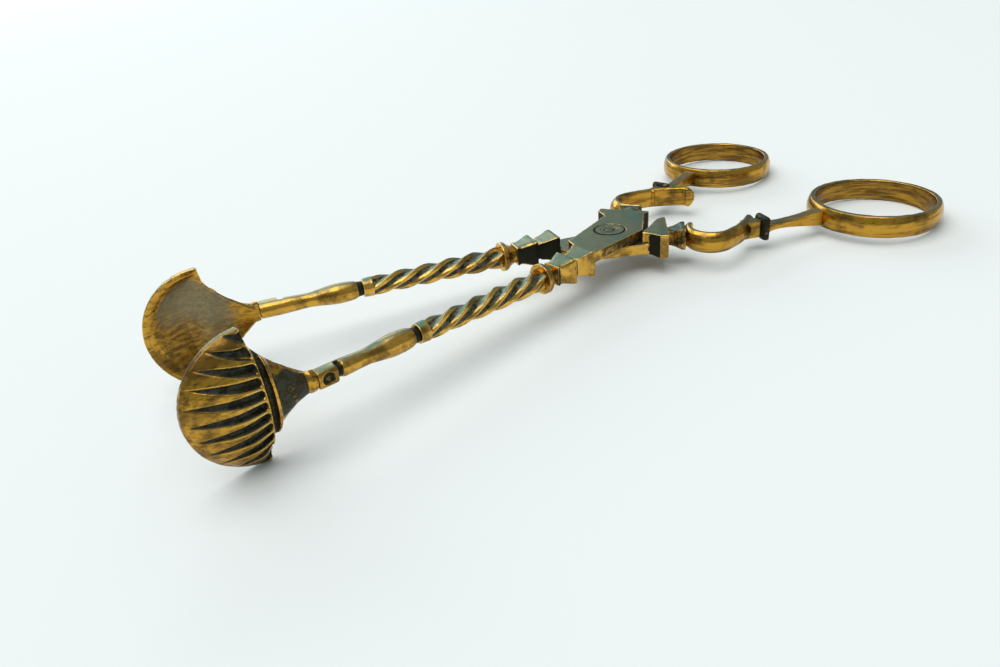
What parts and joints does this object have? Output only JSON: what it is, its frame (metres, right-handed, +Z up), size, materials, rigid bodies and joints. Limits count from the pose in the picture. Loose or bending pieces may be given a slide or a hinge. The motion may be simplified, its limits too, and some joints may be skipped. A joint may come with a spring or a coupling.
{
  "type": "sugar nippers",
  "caption": "Scissor-action brass sugar nippers: fluted shell grips, baluster and twisted stems, riveted lap joint, scroll handles and finger rings.",
  "frame": {"origin": "centre of the bounding box's underside, where the nippers lie on a table", "axes": "+X from the shell grips to the finger rings, +Y across the two arms, +Z up"},
  "size_m": [0.1427, 0.0662, 0.0213],
  "materials": {
    "bright_brass": "cast brass, polished by handling on the high parts",
    "aged_brass": "cast brass with a brown and green patina",
    "dark_brass": "cast brass, nearly black with patina",
    "iron": "rusted rivet head, closed down flush"
  },
  "bodies": {
    "lower_arm": {"lower_shell_grip": "bright_brass", "lower_baluster": "aged_brass", "lower_twisted_bar": "bright_brass", "lower_stem_collar": "bright_brass", "lower_hinge_block": "aged_brass", "lower_flared_collar": "bright_brass", "lower_scroll": "bright_brass", "lower_handle_knop": "dark_brass", "lower_ring_neck": "aged_brass", "lower_finger_ring": "bright_brass", "rivet_pin": "iron", "rivet_washer_top": "aged_brass", "rivet_washer_bottom": "aged_brass"},
    "upper_arm": {"upper_shell_grip": "bright_brass", "upper_baluster": "aged_brass", "upper_twisted_bar": "bright_brass", "upper_stem_collar": "bright_brass", "upper_hinge_block": "aged_brass", "upper_flared_collar": "bright_brass", "upper_scroll": "bright_brass", "upper_handle_knop": "dark_brass", "upper_ring_neck": "aged_brass", "upper_finger_ring": "bright_brass"}
  },
  "joints": [
    {"name": "rivet_hinge", "type": "hinge", "parent": "lower_arm", "child": "upper_arm", "pos_m": [0.01051, 0, 0.00598], "axis": [0.065, 0, 0.9979], "range_deg": [-19.2, 26]}
  ]
}
